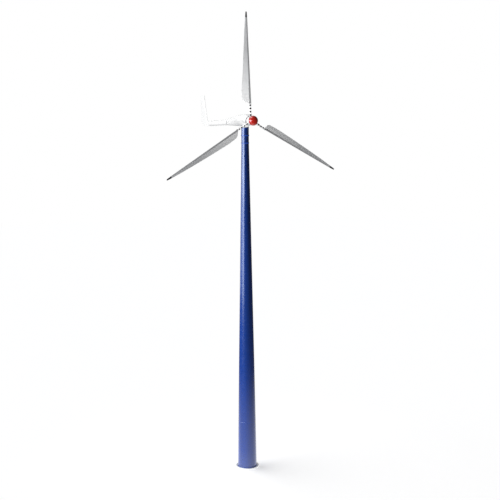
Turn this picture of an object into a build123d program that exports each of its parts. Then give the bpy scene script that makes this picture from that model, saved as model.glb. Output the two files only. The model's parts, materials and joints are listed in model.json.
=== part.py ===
from build123d import *
import math
import os

# Small wind turbine on a free-standing tapered tower, in millimetres.
# Origin: centre of the base flange's underside. +Z up, the rotor faces -Y, the tail points to +Y.

# ---- driving dimensions ----
HUB_HEIGHT = 8600.0          # hub centre above the foundation
OVERHANG = 330.0             # hub centre forward of the yaw axis
TILT = 4.8                   # nose-up tilt of the shaft, degrees
ROTOR_RADIUS = 2500.0
BLADES = 3

RUNNING = 0.05               # radial clearance of a running fit
GAP = 0.3                    # between pieces that move past each other

# tower shell
BASE_D = 470.0               # at the flange
NECK_D = 178.0               # at the top
WALL = 5.0
FLANGE_D = 560.0
FLANGE_T = 40.0
FLANGE_BORE_D = 400.0
FLANGE_CHAMFER = 4.0
FOUNDATION_PCD = 515.0
FOUNDATION_HOLE_D = 22.0
FOUNDATION_BOLTS = 12
BASE_SECTION_TOP = 1200.0
TAPER_TOP = 8050.0
UPPER_COLLAR_Z = 8229.0
HEAD_TOP = 8433.0
COLLAR_T = 22.0
COLLAR_OUT = 8.0
TOP_PLATE_T = 12.0
EARTH_Z = 160.0              # middle of the earth terminal
EARTH_LUG = 30.0

# access door
DOOR_Z = 800.0               # middle of the door
DOOR_FRAME_W = 220.0
DOOR_FRAME_H = 420.0
DOOR_FRAME_BACK_Y = 180.0
DOOR_HOLE_W = 160.0
DOOR_HOLE_H = 360.0
DOOR_FACE_Y = 238.0          # flat face of the door frame
FRAME_WALL = 6.0
DOOR_T = 4.0
DOOR_INSET = 15.0            # frame left showing on each side of the door
DOOR_CORNER_R = 12.0
DOOR_HINGE_X = -118.0
HINGE_ZS = (DOOR_Z - 130.0, DOOR_Z + 130.0)
BARREL_R = 6.0
BARREL_H = 30.0
LUG_H = 12.0
DOOR_PIN_R = 3.0
LOCK_X = 60.0
LOCK_R = 9.0
LOCK_HEAD_R = 15.0
LOCK_REACH = 15.0            # lock body behind the door's face
DOOR_Y = DOOR_FACE_Y + 2 * GAP
HINGE_Y = DOOR_Y + DOOR_T / 2

# yaw bearing
SPINDLE_R = 35.0
SPINDLE_BORE_R = 25.0
SPINDLE_SHOULDER_R = 42.0
SPINDLE_FLANGE_R = 75.0
SPINDLE_FLANGE_T = 12.0
SPINDLE_BOLT_PCD = 120.0
SPINDLE_BOLT_R = 5.0
SPINDLE_BOLTS = 6
SPINDLE_TOP = 8640.0
YAW_BORE_R = 55.0
YAW_HOUSING_R = 65.0
YAW_BEARING_W = 18.0
SKIRT_R = 86.0               # white neck under the nacelle
SPINDLE_BASE = HEAD_TOP + TOP_PLATE_T
YAW_LOW = SPINDLE_BASE + SPINDLE_FLANGE_T
YAW_BEARING_ZS = (YAW_LOW + 18.0, YAW_LOW + 143.0)
YAW_HOUSING_Z = YAW_LOW + 5.0
RING_PITCH = 14.0            # slip rings
RING_R = 24.0

# shaft and generator: distances behind the hub centre, along the shaft
SHAFT_R = 25.0
SHAFT_REAR_R = 22.0
SHAFT_THREAD_R = 20.0
GEN_R = 100.0
GEN_FRONT = 80.0
GEN_REAR = 240.0
BELL_T = 24.0
STATOR_R = 88.0
STATOR_BORE_R = 68.0
SLOTS = 36
MAGNET_R = 66.5
DRUM_R = 60.0
MAGNETS = 12
SPINE_START = 440.0
FRONT_BEARING = (SHAFT_R, 42.0, 16.0, GEN_FRONT + 6.0)       # bore, outer radius, width, front face
REAR_BEARING = (SHAFT_REAR_R, 38.0, 14.0, GEN_REAR - 20.0)

# hub and spinner
HUB_R = 92.0
HUB_FRONT = -88.0
HUB_REAR = 66.0
HUB_POCKET = 36.0            # depth of the hollow for the shaft nut
SPINNER_R = 114.0
SPINNER_BASE = -95.0
SPINNER_NOSE = -215.0
SPINNER_WALL = 3.0
SPINNER_RIM_R = 100.0

# blades: distances out from the hub centre
ROOT_PITCH = 30.0
TIP_PITCH = 3.0
PANEL_ROOT = 400.0
PANEL_SLANT = 22.0           # slope of the panel's root edge, degrees
TIP_START = 2370.0
STRIP_ROOT_W = 45.0
STRIP_TIP_W = 22.0
CHORD = [(PANEL_ROOT, 202), (690, 205), (1330, 148), (2060, 84), (TIP_START, 50), (ROTOR_RADIUS, 30)]
STATIONS = (PANEL_ROOT, 550, 700, 1000, 1330, 1700, 2060, TIP_START)
ARM_W = 48.0
ARM_T = 14.0
TONGUE_START = 250.0
TONGUE_T = 8.0
SEAT_T = 12.0                # hub seat in front of each arm
SEAT_END = 238.0
BLADE_BOLT_RADII = (135.0, 210.0, 285.0, 360.0)
BLADE_BOLT_R = 8.0
BLADE_BOLT_HEAD_R = 22.0
BLADE_BOLT_HEAD_T = 10.0
BLADE_BOLT_DOME_R = 38.0

# nacelle covers and tail, along the shaft
SKIN = 4.0                   # nacelle cover wall
JOINT_Y = 1200.0             # plane of the tail joint
COVER_SECTIONS = [           # distance behind the hub, half width, height above and depth below the axis
    (GEN_FRONT, 106, 108, 103), (110, 122, 135, 110), (160, 131, 154, 113), (300, 136, 160, 114),
    (450, 135, 160, 113), (620, 129, 151, 107), (800, 118, 134, 98), (1000, 101, 111, 87),
    (JOINT_Y, 84, 90, 77)]
COVER_SCREW_YS = (200, 500, 800, 1080)
TAIL_HINGE_X = -104.0
HINGE_LEAN = 12.0            # lean of the tail hinge, so that gravity straightens the tail
KNUCKLE_R = 15.0
KNUCKLE_H = 24.0             # half height of the boom's knuckle
LUG_REACH = 46.0
HINGE_PIN_R = 9.0
PLATE_T = 12.0
JOINT_GAP = 2.5              # each side of the joint plane
BOOM_R = 65.0
BOOM_WALL = 4.0
BOOM_END = 2390.0
FAIRING_END = 1500.0
FAIRING_R = BOOM_R + 3
FAIRING_SECTIONS = [(JOINT_Y, 84, 90, 77), (1340, 74, 77, 71), (FAIRING_END, FAIRING_R, FAIRING_R, FAIRING_R)]
FIN_T = 16.0
FIN_ROOT_Y = BOOM_END - 90
FIN_BOLT_YS = (BOOM_END - 65, BOOM_END - 25)


# ---- helpers ----
def turned_y(points):
    """Solid of revolution about the Y axis from (radius, y) points."""
    return revolve(make_face(Polyline(*points, close=True)), axis=Axis.Y)


def turned_z(points):
    """Solid of revolution about the Z axis from (radius, z) points."""
    return revolve(Plane.XZ * make_face(Polyline(*points, close=True)), axis=Axis.Z)


def ring_y(r_out, r_in, y0, y1):
    return turned_y([(r_in, y0), (r_out, y0), (r_out, y1), (r_in, y1)])


def ring_z(r_out, r_in, z0, z1):
    return turned_z([(r_in, z0), (r_out, z0), (r_out, z1), (r_in, z1)])


def block(x0, x1, y0, y1, z0, z1):
    """Box between two corners."""
    box = Box(x1 - x0, y1 - y0, z1 - z0, align=(Align.MIN, Align.MIN, Align.MIN))
    return Pos(x0, y0, z0) * box


def group(solids):
    """Several separate solids in one node."""
    return Compound(children=[s for part in solids for s in part.solids()])


def spread(part, count, axis_turn, start=0.0):
    """The part repeated evenly round an axis."""
    return [axis_turn(start + 360.0 * k / count) * part for k in range(count)]


def about_z(angle):
    return Rot(0, 0, angle)


def about_y(angle):
    return Rot(0, angle, 0)


def shaft_frame(part):
    """From shaft coordinates (hub centre, +Y rearward) to the turbine's frame."""
    return Pos(0, -OVERHANG, HUB_HEIGHT) * Rot(-TILT, 0, 0) * part


def lerp(table, x):
    """Straight-line interpolation in a table of (x, value)."""
    for (x0, v0), (x1, v1) in zip(table, table[1:]):
        if x <= x1:
            return v0 + (v1 - v0) * (x - x0) / (x1 - x0)
    return table[-1][1]


# ---- tower ----
def shell_radius(z):
    """Outer radius of the tower shell."""
    return lerp([(FLANGE_T, BASE_D / 2), (TAPER_TOP, NECK_D / 2), (HEAD_TOP, NECK_D / 2)], z)


def shell_section(z0, z1):
    """Rolled tapered tube between two heights."""
    r0 = shell_radius(z0)
    r1 = shell_radius(z1)
    return turned_z([(r0 - WALL, z0), (r0, z0), (r1, z1), (r1 - WALL, z1)])


def base_flange():
    flange = ring_z(FLANGE_D / 2, FLANGE_BORE_D / 2, 0, FLANGE_T)
    flange = chamfer(flange.edges().group_by(Axis.Z)[-1].sort_by(SortBy.RADIUS)[-1], FLANGE_CHAMFER)
    hole = Pos(FOUNDATION_PCD / 2, 0, FLANGE_T / 2) * Cylinder(FOUNDATION_HOLE_D / 2, FLANGE_T + 2)
    for cut in spread(hole, FOUNDATION_BOLTS, about_z, 15):
        flange -= cut
    return flange


def door_cut(width, height, y0, y1):
    return block(-width / 2, width / 2, y0, y1, DOOR_Z - height / 2, DOOR_Z + height / 2)


def tower_base_section():
    shell = shell_section(FLANGE_T, BASE_SECTION_TOP)
    return shell - door_cut(DOOR_FRAME_W, DOOR_FRAME_H, 100, 300)


def joint_collars():
    """Two bands welded round the neck, the lower one over the joint with the main section."""
    collars = []
    for z in (TAPER_TOP, UPPER_COLLAR_Z):
        r = NECK_D / 2
        collar = ring_z(r + COLLAR_OUT, r, z, z + COLLAR_T)
        collars.append(chamfer(collar.edges().filter_by(GeomType.CIRCLE).sort_by(SortBy.RADIUS)[-2:], 2))
    return group(collars)


def tower_top_plate():
    z0 = HEAD_TOP
    plate = ring_z(NECK_D / 2, SPINDLE_BORE_R, z0, z0 + TOP_PLATE_T)
    hole = Pos(SPINDLE_BOLT_PCD / 2, 0, z0 + TOP_PLATE_T / 2) * Cylinder(SPINDLE_BOLT_R, TOP_PLATE_T + 2)
    for cut in spread(hole, SPINDLE_BOLTS, about_z):
        plate -= cut
    return plate


def earth_terminal():
    """Welded lug with a stud at the back of the shell."""
    z = EARTH_Z
    r = shell_radius(z)
    half = EARTH_LUG / 2
    lug = block(-half, half, r - 4, r + 12, z - half, z + half) - Cylinder(shell_radius(z - half), 3 * z)
    stud = Pos(0, r + 12, z) * Rot(-90, 0, 0) * Cylinder(5, 16, align=(Align.CENTER, Align.CENTER, Align.MIN))
    nut = Pos(0, r + 12, z) * Rot(-90, 0, 0) * extrude(RegularPolygon(9.5, 6), 8)
    return lug + stud + nut


# ---- access door at the back of the tower ----


def upright(r, x, y, z0, z1):
    height = z1 - z0
    return Pos(x, y, z0) * Cylinder(r, height, align=(Align.CENTER, Align.CENTER, Align.MIN))


def door_frame():
    back = DOOR_FRAME_BACK_Y
    frame = door_cut(DOOR_FRAME_W, DOOR_FRAME_H, back, DOOR_FACE_Y)
    inner_w = DOOR_FRAME_W - 2 * FRAME_WALL
    inner_h = DOOR_FRAME_H - 2 * FRAME_WALL
    frame -= door_cut(inner_w, inner_h, back - 1, DOOR_FACE_Y - FRAME_WALL)
    frame -= door_cut(DOOR_HOLE_W, DOOR_HOLE_H, back - 1, DOOR_FACE_Y + 1)
    edge = -DOOR_FRAME_W / 2
    for hinge_z in HINGE_ZS:
        for side in (-1, 1):
            low = hinge_z + side * (BARREL_H / 2 + GAP + LUG_H / 2) - LUG_H / 2
            lug = upright(BARREL_R, DOOR_HINGE_X, HINGE_Y, low, low + LUG_H)
            lug += block(DOOR_HINGE_X - BARREL_R, edge, DOOR_FACE_Y - 12, HINGE_Y, low, low + LUG_H)
            frame += lug
        frame -= upright(DOOR_PIN_R, DOOR_HINGE_X, HINGE_Y, hinge_z - BARREL_H, hinge_z + BARREL_H)
    return frame


def access_door():
    width = DOOR_FRAME_W - 2 * DOOR_INSET
    height = DOOR_FRAME_H - 2 * DOOR_INSET
    panel = door_cut(width, height, DOOR_Y, DOOR_Y + DOOR_T)
    panel = fillet(panel.edges().filter_by(Axis.Y), DOOR_CORNER_R)
    for hinge_z in HINGE_ZS:
        low = hinge_z - BARREL_H / 2
        high = hinge_z + BARREL_H / 2
        panel += upright(BARREL_R, DOOR_HINGE_X, HINGE_Y, low, high)
        panel += block(DOOR_HINGE_X, -width / 2 + 2, DOOR_Y, DOOR_Y + DOOR_T, low, high)
        panel -= upright(DOOR_PIN_R + RUNNING, DOOR_HINGE_X, HINGE_Y, low - 1, high + 1)
    return panel - lock_barrel(RUNNING)


def lock_barrel(extra):
    """The lock's round body, through the door."""
    length = LOCK_REACH + DOOR_T + 5
    body = Cylinder(LOCK_R + extra, length, align=(Align.CENTER, Align.CENTER, Align.MIN))
    return Pos(LOCK_X, DOOR_Y - LOCK_REACH, DOOR_Z) * Rot(-90, 0, 0) * body


def door_lock():
    """Quarter-turn lock. Its cam hangs straight down when the door is free to open."""
    face = DOOR_Y + DOOR_T + GAP
    lock = lock_barrel(0)
    lock += Pos(LOCK_X, 0, DOOR_Z) * ring_y(LOCK_HEAD_R, 0, face, face + 5)
    lock -= block(LOCK_X - 1.5, LOCK_X + 1.5, face + 3, face + 6, DOOR_Z - 9, DOOR_Z + 9)
    cam_back = DOOR_Y - LOCK_REACH
    lock += block(LOCK_X - LOCK_R, LOCK_X + LOCK_R, cam_back, cam_back + 4, DOOR_Z - 38, DOOR_Z + LOCK_R)
    return lock


def door_hinge_pins():
    reach = BARREL_H / 2 + GAP + LUG_H
    pins = []
    for z in HINGE_ZS:
        pins.append(upright(DOOR_PIN_R, DOOR_HINGE_X, HINGE_Y, z - reach, z + reach))
    return group(pins)


# ---- yaw bearing ----


def yaw_spindle():
    z0 = SPINDLE_BASE
    low_bearing = YAW_BEARING_ZS[0]
    spindle = turned_z([
        (SPINDLE_BORE_R, z0), (SPINDLE_FLANGE_R, z0), (SPINDLE_FLANGE_R, YAW_LOW),
        (SPINDLE_SHOULDER_R, YAW_LOW), (SPINDLE_SHOULDER_R, low_bearing), (SPINDLE_R, low_bearing),
        (SPINDLE_R, SPINDLE_TOP), (SPINDLE_BORE_R, SPINDLE_TOP)])
    hole = Cylinder(SPINDLE_BOLT_R, SPINDLE_FLANGE_T + 2)
    hole = Pos(SPINDLE_BOLT_PCD / 2, 0, z0 + SPINDLE_FLANGE_T / 2) * hole
    for cut in spread(hole, SPINDLE_BOLTS, about_z):
        spindle -= cut
    return spindle


def spindle_bolts():
    """Low-head screws, clear of the turning neck above them."""
    length = SPINDLE_FLANGE_T + TOP_PLATE_T
    head = Pos(0, 0, YAW_LOW) * ring_z(8, 0, 0, 4)
    shank = upright(SPINDLE_BOLT_R, 0, 0, YAW_LOW - length, YAW_LOW)
    return group(spread(Pos(SPINDLE_BOLT_PCD / 2, 0, 0) * (head + shank), SPINDLE_BOLTS, about_z))


def bearing_rings(r_in, r_out, width):
    """Inner ring with its balls, and outer ring, along +Y from y = 0."""
    depth = r_out - r_in
    inner = ring_y(r_in + 0.3 * depth, r_in, 0, width)
    outer = ring_y(r_out, r_out - 0.3 * depth, 0, width)
    ball_r = 0.19 * depth
    pitch_r = (r_in + r_out) / 2
    count = int(math.pi * pitch_r / (1.25 * ball_r))
    ball = Pos(pitch_r, width / 2, 0) * Sphere(ball_r)
    return [inner] + spread(ball, count, about_y), outer


def yaw_bearings():
    core, outer = bearing_rings(SPINDLE_R, YAW_BORE_R, YAW_BEARING_W)
    cores = []
    outers = []
    for z in YAW_BEARING_ZS:
        place = Pos(0, 0, z) * Rot(90, 0, 0)
        cores += [place * s for s in core]
        outers.append(place * outer)
    return group(cores), group(outers)


def spindle_lock_nut():
    z0 = YAW_BEARING_ZS[1] + YAW_BEARING_W
    nut = ring_z(SPINDLE_R + 10, SPINDLE_R, z0, z0 + 14)
    notch = Pos(SPINDLE_R + 10, 0, z0 + 7) * Box(6, 7, 16)
    for cut in spread(notch, 4, about_z):
        nut -= cut
    return nut


def slip_ring_core():
    core = ring_z(20, 8, SPINDLE_TOP, SPINDLE_TOP + 60)
    return core + ring_z(33, 8, SPINDLE_TOP, SPINDLE_TOP + 5)


def slip_rings():
    return group([ring_z(RING_R, 20, z, z + 7) for z in ring_heights()])


def ring_heights():
    return [SPINDLE_TOP + 12 + RING_PITCH * k for k in range(3)]


def brush_holder():
    y0 = RING_R + 12
    return block(-16, 16, y0, YAW_HOUSING_R - 1, SPINDLE_TOP, SPINDLE_TOP + 56)


def brushes():
    return group([block(-4, 4, RING_R + GAP, RING_R + 12, z + 1, z + 6) for z in ring_heights()])


def yaw_seal():
    return ring_z(51, 47, YAW_LOW + GAP, YAW_HOUSING_Z)


# ---- main frame ----
def main_frame():
    top = SPINDLE_TOP
    tube = ring_z(YAW_HOUSING_R, 0, YAW_HOUSING_Z, top)
    plate_y = GEN_REAR
    arms = block(-45, 45, plate_y, OVERHANG, -80, 60)
    arms -= block(-30, 30, plate_y + PLATE_T, OVERHANG, -81, 61)
    arms += ring_y(GEN_R - 2, 0, plate_y, plate_y + PLATE_T)
    arms += block(-45, 45, OVERHANG, SPINE_START, -35, 35)
    frame = tube + shaft_frame(arms)
    frame -= ring_z(YAW_BORE_R, 0, YAW_BEARING_ZS[0], top + 1)
    frame -= ring_z(46, 0, YAW_HOUSING_Z - 1, top)
    return frame


def rear_spine():
    spine = block(-40, 40, SPINE_START, JOINT_Y - JOINT_GAP - PLATE_T, -30, 30)
    return spine - block(-36, 36, SPINE_START - 1, JOINT_Y, -26, 26)


# ---- generator ----


def generator_housing():
    y0 = GEN_FRONT + BELL_T
    y1 = GEN_REAR - BELL_T
    housing = ring_y(GEN_R - 4, STATOR_R, y0, y1)
    fin = block(-1.5, 1.5, y0, y1, GEN_R - 6, GEN_R + 2)
    for rib in spread(fin, 24, about_y):
        housing += rib
    return housing


def front_end_bell():
    r_in, r_out, width, y = FRONT_BEARING
    bell = ring_y(GEN_R, r_in + 8, GEN_FRONT, GEN_FRONT + BELL_T)
    bell = fillet(bell.edges().group_by(Axis.Y)[0].sort_by(SortBy.RADIUS)[-1], 8)
    bell -= ring_y(r_out, 0, y, GEN_FRONT + BELL_T + 1)
    return bell - ring_y(STATOR_R - 4, r_out + 6, GEN_FRONT + 12, GEN_FRONT + BELL_T + 1)


def rear_end_bell():
    r_out = REAR_BEARING[1]
    y = REAR_BEARING[3]
    bell = ring_y(GEN_R - 2, 0, GEN_REAR - BELL_T, GEN_REAR)
    bell -= ring_y(r_out, 0, GEN_REAR - BELL_T - 1, y + REAR_BEARING[2] + 1)
    return bell - ring_y(STATOR_R - 4, r_out + 6, GEN_REAR - BELL_T - 1, GEN_REAR - 12)


def stator_core():
    core = ring_y(STATOR_R, STATOR_BORE_R, GEN_FRONT + 36, GEN_REAR - 36)
    slot = block(-2, 2, GEN_FRONT, GEN_REAR, STATOR_BORE_R - 1, STATOR_R - 6)
    for cut in spread(slot, SLOTS, about_y):
        core -= cut
    return core


def stator_windings():
    front = GEN_FRONT + BELL_T
    rear = GEN_REAR - BELL_T
    coils = ring_y(STATOR_R - 5, STATOR_BORE_R + 2, front, GEN_FRONT + 36)
    coils += ring_y(STATOR_R - 5, STATOR_BORE_R + 2, GEN_REAR - 36, rear)
    bar = block(-1.8, 1.8, front + 3, rear - 3, STATOR_BORE_R + 4, STATOR_R - 8)
    for copper in spread(bar, SLOTS, about_y):
        coils += copper
    return coils


def magnet_drum():
    y0 = GEN_FRONT + 38
    y1 = GEN_REAR - 38
    drum = ring_y(DRUM_R, SHAFT_R, y0, y1)
    return drum - ring_y(DRUM_R - 12, SHAFT_R + 10, y0 - 1, y0 + 30)


def magnets():
    y0 = GEN_FRONT + 38
    y1 = GEN_REAR - 38
    ring = ring_y(MAGNET_R, DRUM_R, y0, y1)
    arc = 180.0 / MAGNETS - 1.5
    reach = 2 * MAGNET_R
    wedge_points = [(0, 0)]
    for angle in (-arc, arc):
        turn = math.radians(angle)
        wedge_points.append((reach * math.sin(turn), reach * math.cos(turn)))
    wedge = Pos(0, y1, 0) * extrude(Plane.XZ * make_face(Polyline(*wedge_points, close=True)), y1 - y0)
    magnet = ring & wedge
    return group(spread(magnet, MAGNETS, about_y))


def generator_bolts():
    head_y = GEN_FRONT
    bolt = Pos(0, head_y, GEN_R - 8) * Rot(90, 0, 0) * ring_z(5, 0, 0, 5)
    return group(spread(bolt, 8, about_y, 22.5))


def shaft_bearings():
    cores = []
    outers = []
    for r_in, r_out, width, y in (FRONT_BEARING, REAR_BEARING):
        core, outer = bearing_rings(r_in, r_out, width)
        cores += [Pos(0, y, 0) * s for s in core]
        outers.append(Pos(0, y, 0) * outer)
    return group(cores), group(outers)


# ---- rotor ----
def main_shaft():
    front = HUB_FRONT + 6
    seat = HUB_FRONT + HUB_POCKET
    rear = REAR_BEARING[3]
    return turned_y([
        (0, front), (SHAFT_THREAD_R, front), (SHAFT_THREAD_R, seat), (SHAFT_R, seat),
        (SHAFT_R, HUB_REAR), (SHAFT_R + 12, HUB_REAR), (SHAFT_R + 12, HUB_REAR + 8), (SHAFT_R, HUB_REAR + 8),
        (SHAFT_R, rear), (SHAFT_REAR_R, rear), (SHAFT_REAR_R, rear + 14), (0, rear + 14)])


def pitched(part):
    """A blade root piece, turned about the span line to the root's pitch."""
    return Rot(0, 0, -ROOT_PITCH) * part


def hub_body():
    """Cast drum with three pitched seats for the blade arms."""
    drum = ring_y(HUB_R, SHAFT_R, HUB_FRONT, HUB_REAR)
    for seat in spread(pitched(hub_seat()), BLADES, about_y):
        drum += seat
    drum -= ring_y(HUB_R - 14, 0, HUB_FRONT - 1, HUB_FRONT + HUB_POCKET)
    drum -= ring_y(SHAFT_R, 0, HUB_FRONT - 1, HUB_REAR + 1)
    for cut in spread(pitched(arm_bar()), BLADES, about_y):
        drum -= cut
    for cut in spread(pitched(bolt_holes(BLADE_BOLT_RADII[:2])), BLADES, about_y):
        drum -= cut
    return drum


def hub_seat():
    seat = block(-ARM_W / 2 - 5, ARM_W / 2 + 5, -ARM_T / 2 - SEAT_T, -ARM_T / 2, 60, SEAT_END)
    return fillet(seat.edges().filter_by(Axis.Y).group_by(Axis.Z)[-1], 14)


def arm_bar():
    bar = block(-ARM_W / 2, ARM_W / 2, -ARM_T / 2, ARM_T / 2, HUB_R + 4, PANEL_ROOT - 4)
    return fillet(bar.edges().filter_by(Axis.Y).group_by(Axis.Z)[-1], 8)


def bolt_holes(radii):
    holes = [Pos(0, 0, r) * Rot(90, 0, 0) * Cylinder(BLADE_BOLT_R, 80) for r in radii]
    return holes[0] + holes[1:]


def blade_arms():
    bar = arm_bar() - bolt_holes(BLADE_BOLT_RADII)
    return group(spread(pitched(bar), BLADES, about_y))


def blade_bolt(radius):
    """Domed black head in front, shank through the stack, nut behind."""
    inner = radius < SEAT_END
    front = -ARM_T / 2 - (SEAT_T if inner else 0)
    back = ARM_T / 2 + (0 if inner else TONGUE_T)
    top = front - BLADE_BOLT_HEAD_T
    dome = Pos(0, top + BLADE_BOLT_DOME_R, 0) * Sphere(BLADE_BOLT_DOME_R)
    bolt = ring_y(BLADE_BOLT_HEAD_R, 0, top, front) & dome
    bolt += ring_y(BLADE_BOLT_R, 0, front - 1, back + 1)
    nut = Pos(0, back, 0) * Rot(-90, 0, 0) * extrude(RegularPolygon(14, 6), 10)
    return Pos(0, 0, radius) * (bolt + nut)


def blade_bolts():
    bolts = []
    for radius in BLADE_BOLT_RADII:
        bolts += spread(pitched(blade_bolt(radius)), BLADES, about_y)
    return group(bolts)


def pitch_at(r):
    share = (ROTOR_RADIUS - r) / (ROTOR_RADIUS - PANEL_ROOT)
    return TIP_PITCH + (ROOT_PITCH - TIP_PITCH) * share ** 1.6


def strip_width(r):
    return lerp([(PANEL_ROOT, STRIP_ROOT_W), (TIP_START, STRIP_TIP_W), (ROTOR_RADIUS, 12)], r)


def half_thickness(r, chord, fraction):
    """Symmetric aerofoil, with a trailing edge 2 mm thick."""
    thickness = lerp([(PANEL_ROOT, 0.11), (ROTOR_RADIUS, 0.13)], r)
    f = fraction
    shape = 1.4845 * math.sqrt(f) - 0.63 * f - 1.758 * f ** 2 + 1.4215 * f ** 3 - 0.518 * f ** 4
    return thickness * chord * shape + 1.0 * f


def blade_point(r, fraction, side):
    """Point of the blade's surface: the span runs along +Z, the trailing edge to -X and rearward."""
    chord = lerp(CHORD, r)
    along = fraction * chord - strip_width(r) / 2
    out = side * half_thickness(r, chord, fraction)
    pitch = math.radians(pitch_at(r))
    x = -along * math.cos(pitch) - out * math.sin(pitch)
    y = along * math.sin(pitch) - out * math.cos(pitch)
    return Vector(x, y, r)


def nose_section(r):
    """Leading edge strip, back to its joint with the panel."""
    joint = strip_width(r) / lerp(CHORD, r)
    steps = [joint * s for s in (1.0, 0.55, 0.2, 0.05)]
    points = [blade_point(r, f, 1) for f in steps] + [blade_point(r, 0, 1)]
    points += [blade_point(r, f, -1) for f in reversed(steps)]
    return make_face(Spline(*points) + Line(points[-1], points[0]))


def panel_section(r):
    """Light panel from the strip to the trailing edge."""
    chord = lerp(CHORD, r)
    joint = (strip_width(r) + 0.2) / chord
    steps = [joint + (1 - joint) * s for s in (0, 0.3, 0.65, 1.0)]
    upper = [blade_point(r, f, 1) for f in steps]
    lower = [blade_point(r, f, -1) for f in steps]
    sides = Spline(*upper) + Line(upper[-1], lower[-1]) + Spline(*reversed(lower)) + Line(lower[0], upper[0])
    return make_face(sides)


def tip_section(r, shrink=1.0):
    """Faceted section, so that the thin tip stays true when it is meshed."""
    steps = [shrink * s for s in (1.0, 0.8, 0.6, 0.4, 0.2, 0.1, 0.03)]
    points = [blade_point(r, f, 1) for f in steps] + [blade_point(r, 0, 1)]
    points += [blade_point(r, f, -1) for f in reversed(steps)]
    return make_face(Polyline(*points, close=True))


def blade_tongue():
    """Flat plate under the panel's root, bolted behind the arm."""
    half = ARM_W / 2 - 2
    return block(-half, half, ARM_T / 2, ARM_T / 2 + TONGUE_T, TONGUE_START, PANEL_ROOT + 30)


def blade_spar():
    strip = loft([nose_section(r) for r in STATIONS])
    return strip + pitched(blade_tongue() - bolt_holes(BLADE_BOLT_RADII[2:]))


def blade_panel():
    panel = loft([panel_section(r) for r in STATIONS])
    slant = Pos(-300, 0, -100) * Box(600, 400, 200)
    slant = Pos(-STRIP_ROOT_W / 2, 0, PANEL_ROOT) * Rot(0, PANEL_SLANT, 0) * slant
    return panel - slant - pitched(blade_tongue())


def blade_tips():
    tip = loft([tip_section(TIP_START), tip_section(2440), tip_section(ROTOR_RADIUS, 0.8)], ruled=True)
    return group(spread(tip, BLADES, about_y))


def spinner_profile(inset):
    """Outline of the dome from its nose to its rim, drawn in at the rear."""
    r = SPINNER_R - inset
    widest = SPINNER_BASE - 25
    nose = widest - SPINNER_NOSE - inset
    rim = SPINNER_RIM_R - inset
    dome = EllipticalCenterArc((0, widest), r, nose, -90, arc_size=90)
    return dome, ThreePointArc((r, widest), (r - 3, widest + 14), (rim, SPINNER_BASE)), rim


def spinner():
    dome, turn, rim = spinner_profile(0)
    inner_dome, inner_turn, inner_rim = spinner_profile(SPINNER_WALL)
    outline = dome + turn + Line((rim, SPINNER_BASE), (inner_rim, SPINNER_BASE)) + inner_turn + inner_dome
    outline += Line((0, SPINNER_NOSE + SPINNER_WALL), (0, SPINNER_NOSE))
    return revolve(make_face(outline), axis=Axis.Y)


def spinner_back_plate():
    plate = ring_y(SPINNER_RIM_R, 30, SPINNER_BASE, SPINNER_BASE + 4)
    return plate + ring_y(HUB_R - 2, HUB_R - 12, SPINNER_BASE + 4, HUB_FRONT)


def spinner_screws():
    screw = Pos(0, SPINNER_BASE + 4, HUB_R + 3) * ring_y(4, 0, 0, 3)
    return group(spread(screw, 6, about_y, 30))


def hub_nut():
    nut = extrude(RegularPolygon(36, 6), 20) - Cylinder(SHAFT_THREAD_R, 60)
    return Pos(0, HUB_FRONT + HUB_POCKET, 0) * Rot(90, 0, 0) * nut


# ---- nacelle covers and tail, in shaft coordinates ----


def egg_face(y, half_width, above, below):
    """Cross-section of two half ellipses."""
    upper = EllipticalCenterArc((0, 0), half_width, above, 0, arc_size=180)
    lower = EllipticalCenterArc((0, 0), half_width, below, 180, arc_size=180)
    place = Pos(0, y, 0) * Rot(90, 0, 0)
    return place * make_face(upper + lower)


def egg_loft(sections, inset):
    return loft([egg_face(y, w - inset, a - inset, b - inset) for y, w, a, b in sections])


def cover_shell():
    shell = egg_loft(COVER_SECTIONS, 0) - egg_loft(COVER_SECTIONS, SKIN)
    return shell - block(-200, 200, JOINT_Y - JOINT_GAP - PLATE_T, JOINT_Y + 10, -200, 200)


def nacelle_covers():
    """Upper and lower covers. The lower one carries the neck round the yaw housing."""
    shell = cover_shell()
    upper = shell & block(-200, 200, 0, JOINT_Y, 0, 200)
    lower = shaft_frame(shell & block(-200, 200, 0, JOINT_Y, -200, 0))
    skirt_z = SPINDLE_BASE + 4
    inside = shaft_frame(egg_loft(COVER_SECTIONS, SKIN / 2))
    skirt = ring_z(SKIRT_R, SKIRT_R - 5, skirt_z, skirt_z + 60) - inside
    lower -= ring_z(SKIRT_R - 5, 0, skirt_z - 10, skirt_z + 90)
    return shaft_frame(upper), lower + skirt


def cover_screws():
    """Countersunk screws along the split line, flush with the skin."""
    screws = []
    for y in COVER_SCREW_YS:
        half_width = lerp([(s[0], s[1]) for s in COVER_SECTIONS], y)
        for side in (-1, 1):
            screw = Pos(side * (half_width - SKIN / 2 + 1), y, 14) * Rot(0, 90, 0) * Cylinder(5, SKIN + 2)
            screws.append(screw)
    return screws


def tail_hinge_frame(part):
    """From hinge coordinates (+Z along the pin, +Y rearward) to shaft coordinates."""
    return Pos(TAIL_HINGE_X, JOINT_Y, 0) * Rot(0, HINGE_LEAN, 0) * part


def hinge_knuckle(z0, z1, side):
    """Barrel and web; side is -1 on the nacelle and +1 on the boom."""
    y0, y1 = sorted((side * JOINT_GAP, side * (JOINT_GAP + PLATE_T)))
    barrel = upright(KNUCKLE_R, 0, 0, z0, z1)
    return tail_hinge_frame(barrel + block(0, 48, y0, y1, z0, z1))


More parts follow.
